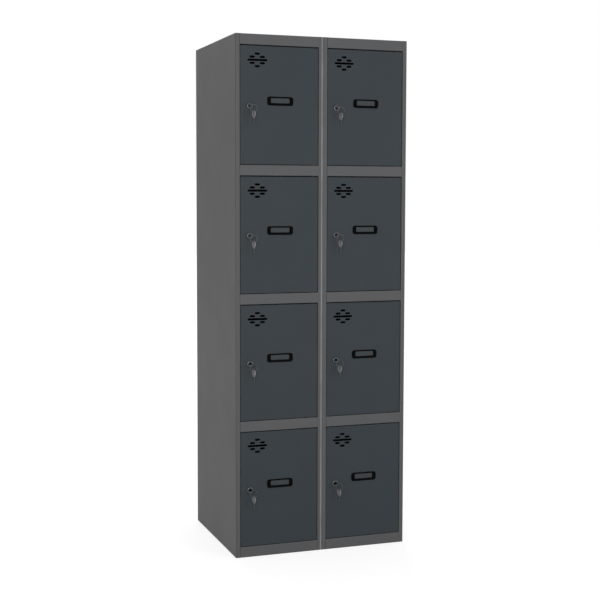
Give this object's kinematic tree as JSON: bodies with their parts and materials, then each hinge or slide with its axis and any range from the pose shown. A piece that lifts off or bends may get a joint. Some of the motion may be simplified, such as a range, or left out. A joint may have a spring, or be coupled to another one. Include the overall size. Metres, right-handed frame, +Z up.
{
  "type": "locker cabinet",
  "caption": "Grey sheet-steel locker cabinet with two columns of stacked compartments, hinged doors with vent slots, label holders and cam locks with keys.",
  "frame": {"origin": "on the floor, under the middle of the whole outline with the keys in the locks", "axes": "+Z up, +X to the right as seen from the front, +Y from the doors towards the back"},
  "size_m": [0.6, 0.5302, 1.71],
  "materials": {
    "carcass_paint": "satin grey powder coat",
    "door_paint": "satin dark grey powder coat",
    "plain_steel": "zinc plated",
    "washer_plastic": "black nylon",
    "rubber": "matt",
    "label_plastic": "matt black",
    "lock_chrome": "black nickel plated",
    "key_steel": "nickel plated"
  },
  "bodies": {
    "carcass": {"left_column_left_side": "carcass_paint", "left_column_right_side": "carcass_paint", "left_column_back": "carcass_paint", "left_column_roof": "carcass_paint", "left_column_base": "carcass_paint", "left_column_shelves": "carcass_paint", "right_column_left_side": "carcass_paint", "right_column_right_side": "carcass_paint", "right_column_back": "carcass_paint", "right_column_roof": "carcass_paint", "right_column_base": "carcass_paint", "right_column_shelves": "carcass_paint", "hinge_pins": "plain_steel", "hinge_washers": "washer_plastic", "door_buffers": "rubber", "column_bolts": "plain_steel", "column_nuts": "plain_steel", "back_rivets": "plain_steel"},
    "left_door_1": {"left_door_1_panel": "door_paint", "left_door_1_label_holder": "label_plastic", "left_door_1_lock_barrel": "lock_chrome"},
    "left_lock_1": {"left_door_1_lock_core": "key_steel"},
    "left_spare_key_1": {"left_door_1_spare_key": "key_steel"},
    "left_door_2": {"left_door_2_panel": "door_paint", "left_door_2_label_holder": "label_plastic", "left_door_2_lock_barrel": "lock_chrome"},
    "left_lock_2": {"left_door_2_lock_core": "key_steel"},
    "left_spare_key_2": {"left_door_2_spare_key": "key_steel"},
    "left_door_3": {"left_door_3_panel": "door_paint", "left_door_3_label_holder": "label_plastic", "left_door_3_lock_barrel": "lock_chrome"},
    "left_lock_3": {"left_door_3_lock_core": "key_steel"},
    "left_spare_key_3": {"left_door_3_spare_key": "key_steel"},
    "left_door_4": {"left_door_4_panel": "door_paint", "left_door_4_label_holder": "label_plastic", "left_door_4_lock_barrel": "lock_chrome"},
    "left_lock_4": {"left_door_4_lock_core": "key_steel"},
    "left_spare_key_4": {"left_door_4_spare_key": "key_steel"},
    "right_door_1": {"right_door_1_panel": "door_paint", "right_door_1_label_holder": "label_plastic", "right_door_1_lock_barrel": "lock_chrome"},
    "right_lock_1": {"right_door_1_lock_core": "key_steel"},
    "right_spare_key_1": {"right_door_1_spare_key": "key_steel"},
    "right_door_2": {"right_door_2_panel": "door_paint", "right_door_2_label_holder": "label_plastic", "right_door_2_lock_barrel": "lock_chrome"},
    "right_lock_2": {"right_door_2_lock_core": "key_steel"},
    "right_spare_key_2": {"right_door_2_spare_key": "key_steel"},
    "right_door_3": {"right_door_3_panel": "door_paint", "right_door_3_label_holder": "label_plastic", "right_door_3_lock_barrel": "lock_chrome"},
    "right_lock_3": {"right_door_3_lock_core": "key_steel"},
    "right_spare_key_3": {"right_door_3_spare_key": "key_steel"},
    "right_door_4": {"right_door_4_panel": "door_paint", "right_door_4_label_holder": "label_plastic", "right_door_4_lock_barrel": "lock_chrome"},
    "right_lock_4": {"right_door_4_lock_core": "key_steel"},
    "right_spare_key_4": {"right_door_4_spare_key": "key_steel"}
  },
  "joints": [
    {"name": "left_door_1_hinge", "type": "hinge", "parent": "carcass", "child": "left_door_1", "pos_m": [-0.03241, -0.2279, 1.4805], "axis": [0, 0, 1], "range_deg": [0, 110]},
    {"name": "left_lock_1_turn", "type": "hinge", "parent": "left_door_1", "child": "left_lock_1", "pos_m": [-0.2515, -0.2379, 1.4805], "axis": [0, 1, 0], "range_deg": [0, 90]},
    {"name": "left_spare_key_1_swing", "type": "hinge", "parent": "left_door_1", "child": "left_spare_key_1", "pos_m": [-0.24429, -0.25423, 1.4813], "axis": [-1, 0, 0], "range_deg": [-12, 35]},
    {"name": "left_door_2_hinge", "type": "hinge", "parent": "carcass", "child": "left_door_2", "pos_m": [-0.03241, -0.2279, 1.0615], "axis": [0, 0, 1], "range_deg": [0, 110]},
    {"name": "left_lock_2_turn", "type": "hinge", "parent": "left_door_2", "child": "left_lock_2", "pos_m": [-0.2515, -0.2379, 1.0615], "axis": [0, 1, 0], "range_deg": [0, 90]},
    {"name": "left_spare_key_2_swing", "type": "hinge", "parent": "left_door_2", "child": "left_spare_key_2", "pos_m": [-0.24429, -0.25423, 1.0623], "axis": [-1, 0, 0], "range_deg": [-12, 35]},
    {"name": "left_door_3_hinge", "type": "hinge", "parent": "carcass", "child": "left_door_3", "pos_m": [-0.03241, -0.2279, 0.6425], "axis": [0, 0, 1], "range_deg": [0, 110]},
    {"name": "left_lock_3_turn", "type": "hinge", "parent": "left_door_3", "child": "left_lock_3", "pos_m": [-0.2515, -0.2379, 0.6425], "axis": [0, 1, 0], "range_deg": [0, 90]},
    {"name": "left_spare_key_3_swing", "type": "hinge", "parent": "left_door_3", "child": "left_spare_key_3", "pos_m": [-0.24429, -0.25423, 0.6433], "axis": [-1, 0, 0], "range_deg": [-12, 35]},
    {"name": "left_door_4_hinge", "type": "hinge", "parent": "carcass", "child": "left_door_4", "pos_m": [-0.03241, -0.2279, 0.2235], "axis": [0, 0, 1], "range_deg": [0, 110]},
    {"name": "left_lock_4_turn", "type": "hinge", "parent": "left_door_4", "child": "left_lock_4", "pos_m": [-0.2515, -0.2379, 0.2235], "axis": [0, 1, 0], "range_deg": [0, 90]},
    {"name": "left_spare_key_4_swing", "type": "hinge", "parent": "left_door_4", "child": "left_spare_key_4", "pos_m": [-0.24429, -0.25423, 0.2243], "axis": [-1, 0, 0], "range_deg": [-12, 35]},
    {"name": "right_door_1_hinge", "type": "hinge", "parent": "carcass", "child": "right_door_1", "pos_m": [0.26759, -0.2279, 1.4805], "axis": [0, 0, 1], "range_deg": [0, 110]},
    {"name": "right_lock_1_turn", "type": "hinge", "parent": "right_door_1", "child": "right_lock_1", "pos_m": [0.0485, -0.2379, 1.4805], "axis": [0, 1, 0], "range_deg": [0, 90]},
    {"name": "right_spare_key_1_swing", "type": "hinge", "parent": "right_door_1", "child": "right_spare_key_1", "pos_m": [0.05571, -0.25423, 1.4813], "axis": [-1, 0, 0], "range_deg": [-12, 35]},
    {"name": "right_door_2_hinge", "type": "hinge", "parent": "carcass", "child": "right_door_2", "pos_m": [0.26759, -0.2279, 1.0615], "axis": [0, 0, 1], "range_deg": [0, 110]},
    {"name": "right_lock_2_turn", "type": "hinge", "parent": "right_door_2", "child": "right_lock_2", "pos_m": [0.0485, -0.2379, 1.0615], "axis": [0, 1, 0], "range_deg": [0, 90]},
    {"name": "right_spare_key_2_swing", "type": "hinge", "parent": "right_door_2", "child": "right_spare_key_2", "pos_m": [0.05571, -0.25423, 1.0623], "axis": [-1, 0, 0], "range_deg": [-12, 35]},
    {"name": "right_door_3_hinge", "type": "hinge", "parent": "carcass", "child": "right_door_3", "pos_m": [0.26759, -0.2279, 0.6425], "axis": [0, 0, 1], "range_deg": [0, 110]},
    {"name": "right_lock_3_turn", "type": "hinge", "parent": "right_door_3", "child": "right_lock_3", "pos_m": [0.0485, -0.2379, 0.6425], "axis": [0, 1, 0], "range_deg": [0, 90]},
    {"name": "right_spare_key_3_swing", "type": "hinge", "parent": "right_door_3", "child": "right_spare_key_3", "pos_m": [0.05571, -0.25423, 0.6433], "axis": [-1, 0, 0], "range_deg": [-12, 35]},
    {"name": "right_door_4_hinge", "type": "hinge", "parent": "carcass", "child": "right_door_4", "pos_m": [0.26759, -0.2279, 0.2235], "axis": [0, 0, 1], "range_deg": [0, 110]},
    {"name": "right_lock_4_turn", "type": "hinge", "parent": "right_door_4", "child": "right_lock_4", "pos_m": [0.0485, -0.2379, 0.2235], "axis": [0, 1, 0], "range_deg": [0, 90]},
    {"name": "right_spare_key_4_swing", "type": "hinge", "parent": "right_door_4", "child": "right_spare_key_4", "pos_m": [0.05571, -0.25423, 0.2243], "axis": [-1, 0, 0], "range_deg": [-12, 35]}
  ]
}
